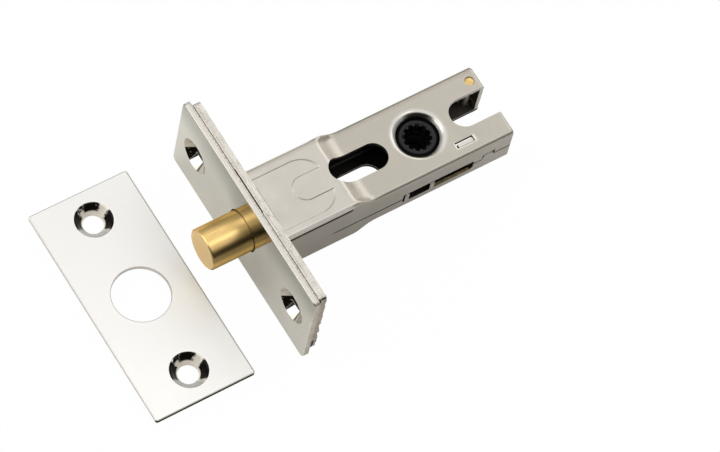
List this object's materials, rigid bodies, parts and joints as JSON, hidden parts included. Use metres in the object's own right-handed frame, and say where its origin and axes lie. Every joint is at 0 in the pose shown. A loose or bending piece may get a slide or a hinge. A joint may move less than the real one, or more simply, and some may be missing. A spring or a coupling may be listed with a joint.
{
  "type": "privacy bolt",
  "caption": "Tubular mortice privacy bolt: folded sheet-metal case behind a faceplate, round sliding bolt worked by a turning star-socket hub, with a pressed strike plate beside it.",
  "frame": {"origin": "centre of the bolt hole in the faceplate's front face", "axes": "+X the way the bolt throws, +Y along the faceplate, +Z through the thickness of the case"},
  "size_m": [0.1025, 0.0579, 0.026],
  "materials": {
    "polished_nickel": "mirror-polished nickel plate",
    "bright_nickel": "bright nickel plate",
    "satin_nickel": "satin nickel plate, slightly warm",
    "plated_steel": "plated steel with rough sheared edges",
    "brass": "brushed along its length",
    "guide_plastic": "moulded",
    "hub_plastic": "moulded, slightly glossy",
    "rivet_steel": "plated steel",
    "spring_steel": "bare spring steel"
  },
  "bodies": {
    "lock_body": {"faceplate": "polished_nickel", "mounting_plate": "plated_steel", "case_shell_near": "satin_nickel", "case_shell_far": "satin_nickel", "bolt_guide": "guide_plastic", "detent_spring": "spring_steel", "rear_rivet": "brass", "strike_plate": "bright_nickel"},
    "bolt_group": {"bolt": "brass", "tail_bar": "plated_steel", "tail_rivets": "rivet_steel"},
    "hub_group": {"hub": "hub_plastic"}
  },
  "joints": [
    {"name": "bolt_slide", "type": "slide", "parent": "lock_body", "child": "bolt_group", "axis": [-1, 0, 0], "range_m": [0, 0.0105]},
    {"name": "hub_turn", "type": "hinge", "parent": "lock_body", "child": "hub_group", "pos_m": [-0.0453, 0, 0], "axis": [0, 0, -1], "range_deg": [0, 90]}
  ],
  "couplings": [
    {"joint": "hub_turn", "follows": "bolt_slide", "rad_per_m": 149.59}
  ]
}
